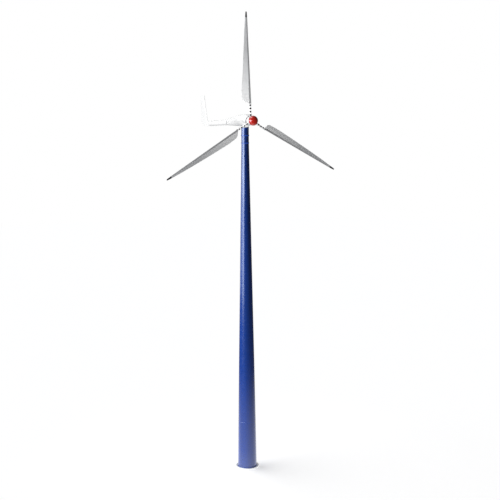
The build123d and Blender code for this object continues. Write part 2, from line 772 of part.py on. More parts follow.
def joint_plate(side):
    """Flat plate that closes the nacelle or the boom fairing at the joint."""
    face = egg_face(0, *COVER_SECTIONS[-1][1:])
    y0, y1 = sorted((JOINT_Y + side * JOINT_GAP, JOINT_Y + side * (JOINT_GAP + PLATE_T)))
    return Pos(0, y1, 0) * extrude(face, y1 - y0)


def hinge_bore(extra):
    return tail_hinge_frame(upright(HINGE_PIN_R + extra, 0, 0, -LUG_REACH - 10, LUG_REACH + 10))


def rear_bulkhead():
    plate = joint_plate(-1)
    for z0 in (KNUCKLE_H + GAP, -LUG_REACH):
        plate += hinge_knuckle(z0, z0 + LUG_REACH - KNUCKLE_H - GAP, -1)
    clear = upright(KNUCKLE_R + 2, 0, 0, -KNUCKLE_H - GAP, KNUCKLE_H + GAP)
    return plate - tail_hinge_frame(clear) - hinge_bore(0)


def boom_root():
    plate = joint_plate(1) + hinge_knuckle(-KNUCKLE_H, KNUCKLE_H, 1)
    socket_y = JOINT_Y + JOINT_GAP + PLATE_T
    socket = ring_y(BOOM_R - BOOM_WALL, BOOM_R - BOOM_WALL - 6, socket_y, socket_y + 90)
    for z0 in (KNUCKLE_H, -LUG_REACH - GAP):
        clear = upright(KNUCKLE_R + 2, 0, 0, z0, z0 + LUG_REACH - KNUCKLE_H + GAP)
        plate -= tail_hinge_frame(clear)
    return plate + socket - hinge_bore(RUNNING)


def tail_hinge_pin():
    pin = upright(HINGE_PIN_R, 0, 0, -LUG_REACH, LUG_REACH)
    pin += upright(HINGE_PIN_R + 4, 0, 0, LUG_REACH, LUG_REACH + 5)
    pin += upright(HINGE_PIN_R + 4, 0, 0, -LUG_REACH - 5, -LUG_REACH)
    return tail_hinge_frame(pin)


def tail_stop():
    """Rubber button on the bulkhead, where the boom's plate comes to rest."""
    y0 = JOINT_Y - JOINT_GAP
    return Pos(55, 0, 0) * ring_y(12, 0, y0, JOINT_Y + JOINT_GAP - GAP)


def boom_fairing():
    sections = FAIRING_SECTIONS
    start = JOINT_Y + JOINT_GAP + PLATE_T
    shell = egg_loft(sections, 0) & block(-200, 200, start, FAIRING_END, -200, 200)
    return shell - ring_y(BOOM_R, 0, start - 1, FAIRING_END + 1)


def tail_boom():
    start = JOINT_Y + JOINT_GAP + PLATE_T
    tube = ring_y(BOOM_R, BOOM_R - BOOM_WALL, start, BOOM_END)
    return tube - fin_slot()


def fin_slot():
    return block(-FIN_T / 2, FIN_T / 2, BOOM_END - 90, BOOM_END + 1, -100, 100)


def boom_end_cap():
    cap = ring_y(BOOM_R - BOOM_WALL, 0, BOOM_END - 90, BOOM_END)
    cap += ring_y(BOOM_R, 0, BOOM_END, BOOM_END + 12)
    cap = fillet(cap.edges().group_by(Axis.Y)[-1], 8)
    return group((cap - block(-FIN_T / 2, FIN_T / 2, BOOM_END - 91, BOOM_END + 20, -100, 100)).solids())


def tail_fin():
    """Swept upright fin with a curved foot that runs forward into the boom."""
    outline = Spline((FIN_ROOT_Y, 45), (BOOM_END + 90, 52), (BOOM_END + 190, 90), (2612, 200))
    outline += Line((2612, 200), (2706, 680))
    outline += ThreePointArc((2706, 680), (2722, 706), (2752, 716))
    outline += Line((2752, 716), (2915, 728))
    outline += ThreePointArc((2915, 728), (2932, 720), (2938, 700))
    outline += Line((2938, 700), (2958, 40))
    outline += Spline((2958, 40), (2860, -30), (2680, -58), (2520, -62), (BOOM_END, -52), (FIN_ROOT_Y, -45))
    outline += Line((FIN_ROOT_Y, -45), (FIN_ROOT_Y, 45))
    plate = extrude(Plane.YZ * make_face(outline), FIN_T / 2, both=True)
    return fillet(plate.faces().sort_by(Axis.X)[-1].edges(), 4)


def fin_bolts():
    bolts = []
    for y in FIN_BOLT_YS:
        shank = Pos(0, y, 0) * Rot(0, 90, 0) * Cylinder(5, 2 * BOOM_R + 6)
        bolts.append(shank)
    return bolts


# ---- assembly ----
def shaft_nodes():
    """Nodes that are modelled in shaft coordinates."""
    bearing_cores, bearing_outers = shaft_bearings()
    screws = cover_screws()
    pins = fin_bolts()
    bore = pins[0] + pins[1]
    nodes = {
        "rear_spine": rear_spine(), "generator_housing": generator_housing(),
        "front_end_bell": front_end_bell(), "rear_end_bell": rear_end_bell(),
        "stator_core": stator_core(), "stator_windings": stator_windings(),
        "generator_bolts": generator_bolts(), "shaft_bearing_outers": bearing_outers,
        "shaft_bearing_cores": bearing_cores, "magnet_drum": magnet_drum(), "magnets": magnets(),
        "main_shaft": main_shaft(), "hub_body": hub_body(), "hub_nut": hub_nut(), "spinner": spinner(),
        "spinner_back_plate": spinner_back_plate(), "spinner_screws": spinner_screws(),
        "blade_arms": blade_arms(), "blade_bolts": blade_bolts(), "blade_tips": blade_tips(),
        "cover_screws": group(screws),
        "rear_bulkhead": rear_bulkhead(), "tail_stop": tail_stop(), "boom_root": boom_root(),
        "tail_hinge_pin": tail_hinge_pin(), "boom_fairing": boom_fairing(),
        "tail_boom": tail_boom() - bore, "boom_end_cap": group((boom_end_cap() - bore).solids()),
        "tail_fin": tail_fin() - bore, "fin_bolts": group(pins)}
    pieces = {"spar": blade_spar(), "panel": blade_panel()}
    for k in range(BLADES):
        for name, piece in pieces.items():
            nodes[f"blade_{k + 1}_{name}"] = about_y(120.0 * k) * piece
    return {name: shaft_frame(part) for name, part in nodes.items()}


def turbine_nodes():
    """Nodes that are modelled in the turbine's own coordinates."""
    yaw_cores, yaw_outers = yaw_bearings()
    cover_upper, cover_lower = nacelle_covers()
    for screw in cover_screws():
        cover_upper -= shaft_frame(screw)
    return {
        "base_flange": base_flange(), "tower_base_section": tower_base_section(),
        "tower_main_section": shell_section(BASE_SECTION_TOP, TAPER_TOP),
        "tower_neck_section": shell_section(TAPER_TOP, HEAD_TOP),
        "joint_collars": joint_collars(),
        "tower_top_plate": tower_top_plate(), "earth_terminal": earth_terminal(),
        "door_frame": door_frame(), "access_door": access_door(), "door_lock": door_lock(),
        "door_hinge_pins": door_hinge_pins(),
        "yaw_spindle": yaw_spindle(), "spindle_bolts": spindle_bolts(),
        "yaw_bearing_cores": yaw_cores, "yaw_bearing_outers": yaw_outers,
        "spindle_lock_nut": spindle_lock_nut(), "slip_ring_core": slip_ring_core(),
        "slip_rings": slip_rings(), "brush_holder": brush_holder(), "brushes": brushes(),
        "yaw_seal": yaw_seal(), "main_frame": main_frame(),
        "nacelle_cover_upper": cover_upper, "nacelle_cover_lower": cover_lower}


os.makedirs("parts", exist_ok=True)
for node_name, solid in {**turbine_nodes(), **shaft_nodes()}.items():
    export_step(solid, f"parts/{node_name}.step")
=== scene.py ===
import json
import math

import bmesh
import bpy
from mathutils import Matrix, Vector

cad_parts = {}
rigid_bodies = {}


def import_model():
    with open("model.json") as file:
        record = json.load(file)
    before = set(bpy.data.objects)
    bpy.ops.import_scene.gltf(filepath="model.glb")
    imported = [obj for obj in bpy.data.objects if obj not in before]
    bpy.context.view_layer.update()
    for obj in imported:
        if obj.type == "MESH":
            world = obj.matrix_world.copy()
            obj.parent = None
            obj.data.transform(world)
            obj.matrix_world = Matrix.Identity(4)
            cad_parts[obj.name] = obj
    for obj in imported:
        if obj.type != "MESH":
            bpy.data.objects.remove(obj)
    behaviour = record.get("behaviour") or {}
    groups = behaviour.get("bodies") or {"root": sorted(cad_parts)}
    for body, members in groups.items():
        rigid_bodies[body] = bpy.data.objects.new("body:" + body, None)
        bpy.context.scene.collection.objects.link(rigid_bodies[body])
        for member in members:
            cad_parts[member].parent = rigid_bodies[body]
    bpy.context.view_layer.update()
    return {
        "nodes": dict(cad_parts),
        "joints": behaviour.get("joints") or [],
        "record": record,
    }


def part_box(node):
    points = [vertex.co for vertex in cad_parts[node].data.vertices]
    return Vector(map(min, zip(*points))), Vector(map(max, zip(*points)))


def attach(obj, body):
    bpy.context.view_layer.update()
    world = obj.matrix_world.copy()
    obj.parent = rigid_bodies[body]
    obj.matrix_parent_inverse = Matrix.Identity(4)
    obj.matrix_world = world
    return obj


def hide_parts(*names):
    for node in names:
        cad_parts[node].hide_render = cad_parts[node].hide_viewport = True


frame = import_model()
NODES = frame["nodes"]
JOINTS = {joint["name"]: joint for joint in frame["joints"]}

# ---- the shaft's own frame: origin at the hub, +Y rearward along the shaft ----
HUB = Vector(JOINTS["rotor_spin"]["pos_m"])
REARWARD = Vector(JOINTS["rotor_spin"]["axis"]).normalized()
SHAFT = Matrix.Translation(HUB) @ Matrix((
    (1, 0, 0, 0),
    (0, REARWARD.y, -REARWARD.z, 0),
    (0, REARWARD.z, REARWARD.y, 0),
    (0, 0, 0, 1)))


# ---- material nodes ----
class Nodes:
    """A short way to wire one material."""

    def __init__(self, name, base, roughness, metallic=0.0):
        self.material = bpy.data.materials.new(name)
        self.material.use_nodes = True
        self.tree = self.material.node_tree
        self.shader = self.tree.nodes["Principled BSDF"]
        self.shader.inputs["Base Color"].default_value = (*base, 1)
        self.shader.inputs["Roughness"].default_value = roughness
        self.shader.inputs["Metallic"].default_value = metallic
        self.place = self.add("ShaderNodeTexCoord").outputs["Object"]

    def add(self, kind, **settings):
        node = self.tree.nodes.new(kind)
        for key, value in settings.items():
            setattr(node, key, value)
        return node

    def link(self, source, target):
        self.tree.links.new(source, target)

    def stretched(self, scale):
        """Object coordinates scaled by (x, y, z)."""
        mapping = self.add("ShaderNodeMapping")
        mapping.inputs["Scale"].default_value = scale
        self.link(self.place, mapping.inputs["Vector"])
        return mapping.outputs["Vector"]

    def noise(self, scale, detail=4.0, roughness=0.55, place=None):
        node = self.add("ShaderNodeTexNoise")
        node.inputs["Scale"].default_value = scale
        node.inputs["Detail"].default_value = detail
        node.inputs["Roughness"].default_value = roughness
        self.link(place or self.place, node.inputs["Vector"])
        return node.outputs["Fac"]

    def cells(self, scale):
        node = self.add("ShaderNodeTexVoronoi")
        node.inputs["Scale"].default_value = scale
        self.link(self.place, node.inputs["Vector"])
        return node.outputs["Color"]

    def span(self, value, low, high, start=0.0, end=1.0):
        """Maps value from start..end to low..high, clamped."""
        node = self.add("ShaderNodeMapRange")
        for key, number in zip(("From Min", "From Max", "To Min", "To Max"), (start, end, low, high)):
            node.inputs[key].default_value = number
        self.link(value, node.inputs["Value"])
        return node.outputs["Result"]

    def mix(self, factor, first, second):
        """Colour mix; first and second are colours or sockets."""
        node = self.add("ShaderNodeMix", data_type="RGBA")
        self.link(factor, node.inputs["Factor"])
        for key, value in (("A", first), ("B", second)):
            socket = [s for s in node.inputs if s.name == key and s.type == "RGBA"][0]
            if isinstance(value, bpy.types.NodeSocket):
                self.link(value, socket)
            else:
                socket.default_value = (*value, 1)
        return [s for s in node.outputs if s.type == "RGBA"][0]

    def colour(self, source):
        self.link(source, self.shader.inputs["Base Color"])

    def roughness(self, source):
        self.link(source, self.shader.inputs["Roughness"])

    def bump(self, height, strength, distance):
        node = self.add("ShaderNodeBump")
        node.inputs["Strength"].default_value = strength
        node.inputs["Distance"].default_value = distance
        self.link(height, node.inputs["Height"])
        self.link(node.outputs["Normal"], self.shader.inputs["Normal"])

    def worn_edges(self):
        """1 on convex edges, broken up by noise."""
        pointed = self.add("ShaderNodeNewGeometry").outputs["Pointiness"]
        edge = self.span(pointed, 0.0, 1.0, 0.52, 0.58)
        patchy = self.span(self.noise(90.0), 0.0, 1.0, 0.45, 0.6)
        product = self.add("ShaderNodeMath", operation="MULTIPLY")
        self.link(edge, product.inputs[0])
        self.link(patchy, product.inputs[1])
        return product.outputs[0]

    def coat(self, weight, roughness):
        self.shader.inputs["Coat Weight"].default_value = weight
        self.shader.inputs["Coat Roughness"].default_value = roughness


def shade(base, share):
    """The colour made lighter (share above 1) or darker."""
    return tuple(min(1.0, c * share) for c in base)


def gloss_coating(name, base, roughness, coat, drift, peel):
    """Sprayed gloss: slow colour drift, faint orange peel, softly varied gloss."""
    m = Nodes(name, base, roughness)
    slow = m.noise(1.7, 3.0)
    m.colour(m.mix(slow, shade(base, 1 - drift), shade(base, 1 + drift)))
    m.roughness(m.span(m.noise(9.0), roughness * 0.8, roughness * 1.25, 0.3, 0.7))
    m.bump(m.noise(120.0, 1.0), peel, 0.0004)
    m.coat(coat, 0.14)
    return m


def tower_paint():
    """Deep blue two-coat paint, a little dusty just above the flange."""
    base = (0.006, 0.043, 0.28)
    m = gloss_coating("tower_blue_paint", base, 0.24, 0.8, 0.10, 0.0)
    rolled = m.noise(1.0, 3.0, 0.5, m.stretched((6.0, 6.0, 0.35)))
    painted = m.mix(m.span(rolled, 0.0, 1.0, 0.35, 0.65), shade(base, 0.9), shade(base, 1.12))
    height = m.add("ShaderNodeSeparateXYZ")
    m.link(m.place, height.inputs[0])
    low = m.span(height.outputs["Z"], 0.16, 0.0, 0.04, 0.5)
    m.colour(m.mix(low, painted, (0.20, 0.22, 0.30)))
    return m.material


def galvanised(name="galvanised_steel", base=(0.74, 0.76, 0.79), roughness=0.42, metallic=0.55):
    """Hot-dip zinc: interlocking spangle in slightly different greys."""
    m = Nodes(name, base, roughness, metallic)
    spangle = m.cells(70.0)
    grey = m.add("ShaderNodeRGBToBW")
    m.link(spangle, grey.inputs[0])
    tint = m.mix(m.span(grey.outputs[0], 0.0, 1.0, 0.1, 0.9), shade(base, 0.84), shade(base, 1.12))
    m.colour(m.mix(m.span(m.noise(5.0), 0.0, 0.5, 0.5, 0.75), tint, (0.80, 0.80, 0.78)))
    m.roughness(m.span(grey.outputs[0], roughness * 0.8, roughness * 1.3))
    m.bump(m.noise(150.0, 3.0), 0.12, 0.0005)
    return m.material


def machined(name, base, roughness=0.3, metallic=0.9):
    """Turned or plated steel with fine tool marks and lighter worn edges."""
    m = Nodes(name, base, roughness, metallic)
    marks = m.noise(1.0, 2.0, 0.6, m.stretched((900.0, 40.0, 900.0)))
    tint = m.mix(m.noise(30.0), shade(base, 0.88), shade(base, 1.08))
    m.colour(m.mix(m.worn_edges(), tint, shade(base, 1.25)))
    m.roughness(m.span(marks, roughness * 0.75, roughness * 1.4, 0.3, 0.7))
    m.bump(marks, 0.05, 0.0002)
    return m.material


def moulded(name, base, roughness=0.5, grain=700.0, strength=0.15):
    """Moulded plastic or rubber with a fine grain and duller high spots."""
    m = Nodes(name, base, roughness)
    m.colour(m.mix(m.noise(22.0), shade(base, 0.85), shade(base, 1.2)))
    m.roughness(m.span(m.noise(60.0), roughness * 0.85, min(1.0, roughness * 1.2), 0.3, 0.7))
    m.bump(m.noise(grain, 2.0), strength, 0.0004)
    return m.material


def cast_metal(name, base):
    """Sand-cast aluminium: rough grain, machined-bright edges."""
    m = Nodes(name, base, 0.5, 0.8)
    tint = m.mix(m.noise(14.0), shade(base, 0.82), shade(base, 1.1))
    m.colour(m.mix(m.worn_edges(), tint, shade(base, 1.2)))
    m.roughness(m.span(m.noise(40.0), 0.42, 0.62))
    m.bump(m.noise(420.0, 3.0), 0.3, 0.0006)
    return m.material


# painted shade: between these distances from the hub the laminate's colour is painted darker outwards
LAMINATE_PAINTED_SHADE = (0.45, 1.6)    # distances from the hub where the laminate starts and stops darkening


def blade_laminate():
    """Satin laminate, mottled, with streaks along the span; near white at the root and greyer outwards, which
    is painted shade.
    """
    root, outer = (0.760, 0.765, 0.770), (0.420, 0.425, 0.435)
    m = Nodes("blade_laminate", outer, 0.36)
    offset = m.add("ShaderNodeVectorMath", operation="SUBTRACT")
    m.link(m.place, offset.inputs[0])
    offset.inputs[1].default_value = HUB
    radius = m.add("ShaderNodeVectorMath", operation="LENGTH")
    m.link(offset.outputs[0], radius.inputs[0])
    # painted shade: the base colour goes from near white at the root to grey outwards, by distance from the
    # hub
    painted_shade = m.span(radius.outputs["Value"], 0.0, 1.0, *LAMINATE_PAINTED_SHADE)
    base = m.mix(painted_shade, root, outer)
    mottle = m.mix(m.span(m.noise(3.0), 0.0, 1.0, 0.3, 0.7), base, shade(outer, 1.15))
    tint = m.mix(m.span(m.noise(11.0), 0.0, 0.22, 0.4, 0.7), base, mottle)
    streak = m.span(m.noise(2.0, 4.0, 0.6, m.stretched((14.0, 14.0, 2.5))), 0.0, 0.25, 0.5, 0.8)
    m.colour(m.mix(streak, tint, shade(outer, 0.85)))
    m.roughness(m.span(m.noise(12.0), 0.30, 0.46, 0.3, 0.7))
    m.bump(m.noise(180.0, 2.0), 0.02, 0.0004)
    m.coat(0.25, 0.12)
    return m.material


def red_gelcoat():
    return gloss_coating("spinner_red_gelcoat", (0.44, 0.014, 0.008), 0.22, 0.8, 0.12, 0.015).material


def white_gelcoat(name="white_gelcoat", white=0.785):
    """White gelcoat with a trace of warm ageing and rain streaks."""
    base = (white, white + 0.005, white + 0.01)
    m = gloss_coating(name, base, 0.45, 0.06, 0.015, 0.01)
    m.shader.inputs["Specular IOR Level"].default_value = 0.25
    streak = m.span(m.noise(3.0, 1.5, 0.5, m.stretched((7.0, 7.0, 1.2))), 0.0, 0.6, 0.45, 0.9)
    m.colour(m.mix(streak, base, (white - 0.03, white - 0.03, white - 0.045)))
    return m.material


def black_caps():
    return gloss_coating("black_bolt_caps", (0.009, 0.009, 0.011), 0.42, 0.1, 0.2, 0.05).material


MATERIALS = {
    "tower_paint": tower_paint(),
    "galvanised_steel": galvanised(),
    "white_gloss_shell": white_gelcoat(),
    "white_painted_metal": white_gelcoat("white_powder_coat", 0.78),
    "silver_arm_steel": galvanised("silver_arm", (0.90, 0.90, 0.91), 0.38, 0.15),
    "black_fastener": black_caps(),
    "zinc_fastener": machined("zinc_plate", (0.60, 0.61, 0.63), 0.34),
    "bearing_steel": machined("ground_steel", (0.72, 0.72, 0.74), 0.16),
    "cast_aluminium": cast_metal("cast_aluminium", (0.62, 0.63, 0.65)),
    "electrical_steel": machined("laminated_steel", (0.30, 0.31, 0.33), 0.4, 0.8),
    "copper": machined("enamelled_copper", (0.62, 0.27, 0.12), 0.3),
    "magnet_nickel": machined("nickel_plate", (0.66, 0.65, 0.62), 0.2),
    "insulating_plastic": moulded("insulating_plastic", (0.05, 0.05, 0.055)),
    "carbon_brush": moulded("carbon", (0.03, 0.03, 0.03), 0.6),
    "black_rubber": moulded("black_rubber", (0.02, 0.02, 0.02), 0.75, 500.0, 0.3),
    "red_gloss_shell": red_gelcoat(),
    "blade_grey": blade_laminate(),
    # leading-edge strip, a darker grey than the laminate
    "blade_strip_grey": moulded("dark_grey_leading_edge", (0.21, 0.212, 0.218), 0.46, 500.0, 0.1),
    "blade_tip_black": moulded("tip_coat", (0.018, 0.018, 0.02), 0.5, 400.0, 0.15),
}


def dress_cad_nodes():
    """Every CAD node gets its slot's material."""
    for row in frame["record"]["subparts"]:
        node = NODES[row["node"]]
        node.data.materials.clear()
        node.data.materials.append(MATERIALS[row["material_slot"]])


# ---- mesh building ----
class Shape:
    """Vertices and faces gathered from several strips, then made into one piece."""

    def __init__(self):
        self.points = []
        self.faces = []

    def grid(self, rows, loop_u=False, loop_v=False, cap=False):
        """Rows of equal length joined by quads. cap closes the first and the last row with one face each."""
        start = len(self.points)
        width = len(rows[0])
        for row in rows:
            self.points += [Vector(p) for p in row]
        for j in range(len(rows) if loop_v else len(rows) - 1):
            above = (j + 1) % len(rows)
            for i in range(width if loop_u else width - 1):
                beside = (i + 1) % width
                self.faces.append((start + j * width + i, start + j * width + beside,
                                   start + above * width + beside, start + above * width + i))
        if cap:
            last = start + (len(rows) - 1) * width
            self.faces.append(tuple(range(start + width - 1, start - 1, -1)))
            self.faces.append(tuple(range(last, last + width)))
        return self

    def add(self, other, place=Matrix.Identity(4)):
        start = len(self.points)
        self.points += [place @ p for p in other.points]
        self.faces += [tuple(start + v for v in face) for face in other.faces]
        return self

    def piece(self, name, body, slot, *nodes, place=Matrix.Identity(4), sharp=40.0):
        """The finished object: it rides on body, wears slot's material and stands for the CAD nodes."""
        mesh = bpy.data.meshes.new(name)
        mesh.from_pydata([place @ p for p in self.points], [], self.faces)
        tidy = bmesh.new()
        tidy.from_mesh(mesh)
        bmesh.ops.remove_doubles(tidy, verts=tidy.verts, dist=1e-6)
        bmesh.ops.recalc_face_normals(tidy, faces=tidy.faces)
        tidy.to_mesh(mesh)
        tidy.free()
        mesh.materials.append(MATERIALS[slot])
        mesh.shade_smooth()
        mesh.set_sharp_from_angle(angle=math.radians(sharp))
        obj = bpy.data.objects.new(name, mesh)
        bpy.context.scene.collection.objects.link(obj)
        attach(obj, body)
        if nodes:
            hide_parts(*nodes)
        return obj


def lerp(table, x):
    """Straight-line interpolation in a table of (x, value)."""
    for (x0, v0), (x1, v1) in zip(table, table[1:]):
        if x <= x1:
            return v0 + (v1 - v0) * (x - x0) / (x1 - x0)
    return table[-1][1]


def spaced(start, end, count):
    return [start + (end - start) * k / (count - 1) for k in range(count)]


def curve(points, steps):
    """Smooth curve through points, Catmull-Rom, steps parts to each span."""
    points = [Vector(p) for p in points]
    padded = [2 * points[0] - points[1]] + points + [2 * points[-1] - points[-2]]
    out = []
    for a, b, c, d in zip(padded, padded[1:], padded[2:], padded[3:]):
        for k in range(steps):
            t = k / steps
            out.append(0.5 * (2 * b + (c - a) * t + (2 * a - 5 * b + 4 * c - d) * t ** 2
                              + (3 * b - a - 3 * c + d) * t ** 3))
    return out + [points[-1]]


def corner(centre, radius, start, end, steps=4):
    """Points of an arc in a plane, angles in degrees."""
    turns = [math.radians(a) for a in spaced(start, end, steps + 1)]
    return [(centre[0] + radius * math.cos(t), centre[1] + radius * math.sin(t)) for t in turns]


def lathe(profile, segments, loop=True, axis="Z"):
    """Surface of revolution from (radius, height) points; loop closes the profile on itself."""
    rows = []
    for r, h in profile:
        turns = [2 * math.pi * k / segments for k in range(segments)]
        if axis == "Z":
            rows.append([(r * math.cos(t), r * math.sin(t), h) for t in turns])
        else:
            rows.append([(r * math.cos(t), h, r * math.sin(t)) for t in turns])
    return Shape().grid(rows, loop_u=True, loop_v=loop)


def band(r_in, r_out, low, high, edge, segments, axis="Z"):
    """Ring of rectangular section with its two outer corners rounded."""
    profile = [(r_in, low)]
    profile += corner((r_out - edge, low + edge), edge, -90, 0)
    profile += corner((r_out - edge, high - edge), edge, 0, 90)
    profile += [(r_in, high)]
    return lathe(profile, segments, True, axis)


WELD_STEP = 0.0022           # between the sections of a weld bead
WELD_RIPPLE = 0.007
WELD_SIDES = 8


def weld(path, radius):
    """Weld bead with its ripples, swept round a closed path of points."""
    rows = []
    travelled = 0.0
    points = [Vector(p) for p in path]
    for k, point in enumerate(points):
        after = points[(k + 1) % len(points)]
        ahead = (after - points[k - 1]).normalized()
        side = ahead.cross(Vector((0.013, 0.021, 1.0))).normalized()
        if abs(ahead.z) > 0.9:
            side = ahead.cross(Vector((0.013, 1.0, 0.021))).normalized()
        lift = ahead.cross(side)
        r = radius * (0.86 + 0.14 * abs(math.sin(math.pi * travelled / WELD_RIPPLE)))
        turns = [2 * math.pi * s / WELD_SIDES for s in range(WELD_SIDES)]
        rows.append([point + side * (r * math.cos(t)) + lift * (r * math.sin(t)) for t in turns])
        travelled += (after - point).length
    return Shape().grid(rows, loop_u=True, loop_v=True)


def ring_path(radius, height):
    count = int(2 * math.pi * radius / WELD_STEP)
    turns = [2 * math.pi * k / count for k in range(count)]
    return [(radius * math.cos(t), radius * math.sin(t), height) for t in turns]


def plate(outline, thickness, edge, steps=3):
    """Flat plate with rounded edges: outline is a list of (x, z), anticlockwise; it is centred on y = 0."""
    count = len(outline)
    inward = []
    for k in range(count):
        a, b, c = (Vector((*outline[(k + d) % count], 0.0)) for d in (-1, 0, 1))
        first = Vector((a.y - b.y, b.x - a.x, 0.0)).normalized()
        second = Vector((b.y - c.y, c.x - b.x, 0.0)).normalized()
        inward.append((first + second).normalized() / max(0.5, (first + second).length / 2))
    half = thickness / 2
    turns = [math.pi / 2 * k / steps for k in range(steps + 1)]
    levels = [(edge * (1 - math.sin(t)), -half + edge * (1 - math.cos(t))) for t in turns]
    levels += [(inset, -y) for inset, y in reversed(levels)]
    rows = []
    for inset, y in levels:
        rows.append([(outline[k][0] + inward[k].x * inset, y, outline[k][1] + inward[k].y * inset)
                     for k in range(count)])
    return Shape().grid(rows, loop_u=True, cap=True)


def rounded_bar(x0, x1, z0, z1, radius):
    """Outline of a rectangle with rounded corners, anticlockwise."""
    outline = []
    for x, z, start in ((x1 - radius, z0 + radius, -90), (x1 - radius, z1 - radius, 0),
                        (x0 + radius, z1 - radius, 90), (x0 + radius, z0 + radius, 180)):
        outline += corner((x, z), radius, start, start + 90, 5)
    return outline


def hexagon(corner_radius, low, high, edge):
    """Hexagonal nut along Y with its corners turned off."""
    turns = [math.radians(60 * k) for k in range(6)]
    outline = [(corner_radius * math.cos(t), corner_radius * math.sin(t)) for t in turns]
    centre = Matrix.Translation((0, (low + high) / 2, 0))
    return Shape().add(plate(outline, high - low, edge), centre)


# ---- tower ----
BASE_RADIUS = 0.235          # shell at the flange
NECK_RADIUS = 0.089
WALL = 0.005
COLLAR_HEIGHT = 0.022
DOOR_FRAME_HALF = 0.110      # half the door frame's width
FOOT_WELD = 0.006            # bead radii
GIRTH_WELD = 0.0022
COLLAR_WELD = 0.003
FRAME_WELD = 0.0045
FLANGE_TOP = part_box("base_flange")[1].z
BASE_SECTION_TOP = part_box("tower_base_section")[1].z
TAPER_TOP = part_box("tower_main_section")[1].z
NECK_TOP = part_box("tower_neck_section")[1].z
SEGMENTS = 144


def shell_radius(z):
    return lerp([(FLANGE_TOP, BASE_RADIUS), (TAPER_TOP, NECK_RADIUS), (NECK_TOP, NECK_RADIUS)], z)


def tapered_tube(low, high, rows):
    """Rolled plate tube with a slight round on its outer edges."""
    edge = 0.0012
    heights = [low] + spaced(low + edge, high - edge, rows) + [high]
    outer = [(shell_radius(z) - (edge if z in (low, high) else 0), z) for z in heights]
    inner = [(shell_radius(z) - WALL, z) for z in (high, low)]
    return lathe(outer + inner, SEGMENTS)


def base_section():
    """Bottom shell, cut out for the door frame, in columns that follow the cut's upright edges."""
    low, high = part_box("door_frame")
    half = DOOR_FRAME_HALF
    below = spaced(FLANGE_TOP, low.z, 8)
    above = spaced(high.z, BASE_SECTION_TOP, 5)
    heights = below + spaced(low.z, high.z, 7)[1:] + above[1:]
    shell = Shape()
    for inset in (0.0, WALL):
        rows = []
        for z in heights:
            r = shell_radius(z) - inset
            edge = math.asin(half / r)
            turns = spaced(edge, 2 * math.pi - edge, 120)
            rows.append([(r * math.sin(t), r * math.cos(t), z) for t in turns])
        shell.grid(rows)
        for span in (below, above):
            rows = []
            for z in span:
                r = shell_radius(z) - inset
                edge = math.asin(half / r)
                rows.append([(r * math.sin(t), r * math.cos(t), z) for t in spaced(-edge, edge, 21)])
            shell.grid(rows)
    for z in (FLANGE_TOP, BASE_SECTION_TOP):
        ends = []
        for inset in (0.0, WALL):
            r = shell_radius(z) - inset
            turns = [2 * math.pi * k / 240 for k in range(240)]
            ends.append([(r * math.sin(t), r * math.cos(t), z) for t in turns])
        shell.grid(ends, loop_u=True)
    return shell


def door_frame_weld():
    """Bead where the frame passes through the shell."""
    low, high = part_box("door_frame")
    half = DOOR_FRAME_HALF
    path = []
    upright = int((high.z - low.z) / WELD_STEP)
    across = int(2 * half / WELD_STEP)
    for z in spaced(low.z, high.z, upright):
        path.append((half, math.sqrt(shell_radius(z) ** 2 - half ** 2), z))
    for x in spaced(half, -half, across)[1:]:
        path.append((x, math.sqrt(shell_radius(high.z) ** 2 - x * x), high.z))
    for z in spaced(high.z, low.z, upright)[1:]:
        path.append((-half, math.sqrt(shell_radius(z) ** 2 - half ** 2), z))
    for x in spaced(-half, half, across)[1:-1]:
        path.append((x, math.sqrt(shell_radius(low.z) ** 2 - x * x), low.z))
    return weld(path, FRAME_WELD)


def build_tower():
    base = base_section().piece("base_shell", "tower", "tower_paint", "tower_base_section", sharp=30)
    main = tapered_tube(BASE_SECTION_TOP, TAPER_TOP, 24)
    main = main.piece("main_shell", "tower", "tower_paint", "tower_main_section")
    neck = tapered_tube(TAPER_TOP, NECK_TOP, 4)
    neck = neck.piece("neck_shell", "tower", "tower_paint", "tower_neck_section")
    low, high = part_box("joint_collars")
    collars = Shape()
    for z in (low.z, high.z - COLLAR_HEIGHT):
        collars.add(band(NECK_RADIUS - 0.0005, high.x, z, z + COLLAR_HEIGHT, 0.003, SEGMENTS))
        for rim in (z, z + COLLAR_HEIGHT):
            collars.add(weld(ring_path(NECK_RADIUS + 0.001, rim), COLLAR_WELD))
    collars.piece("neck_collars", "tower", "tower_paint", "joint_collars")
    beads = weld(ring_path(BASE_RADIUS + 0.002, FLANGE_TOP + 0.002), FOOT_WELD)
    beads.add(weld(ring_path(shell_radius(BASE_SECTION_TOP) - 0.001, BASE_SECTION_TOP), GIRTH_WELD))
    beads.add(door_frame_weld())
    beads.piece("weld_beads", "tower", "tower_paint")
    return base, main, neck


# ---- nacelle, in shaft coordinates ----
SKIN = 0.004
COVER_SECTIONS = [  # distance behind the hub, half width, height above and depth below the shaft
    (0.080, 0.106, 0.108, 0.103), (0.110, 0.122, 0.135, 0.110), (0.160, 0.131, 0.154, 0.113),
    (0.300, 0.136, 0.160, 0.114), (0.450, 0.135, 0.160, 0.113), (0.620, 0.129, 0.151, 0.107),
    (0.800, 0.118, 0.134, 0.098), (1.000, 0.101, 0.111, 0.087), (1.200, 0.084, 0.090, 0.077)]
COVER_END = 1.1855
COVER_EDGE = 0.0012
COVER_POINTS = 73            # points across one skin of a half cover
SPLIT_GAP = 0.0008           # each half stands back this far from the parting line
SKIRT_OUTER = 0.086
SKIRT_INNER = 0.081
SKIRT_HEIGHT = 0.052
SKIRT_LIP = 0.0025
SCREW_POSITIONS = (0.200, 0.500, 0.800, 1.080)


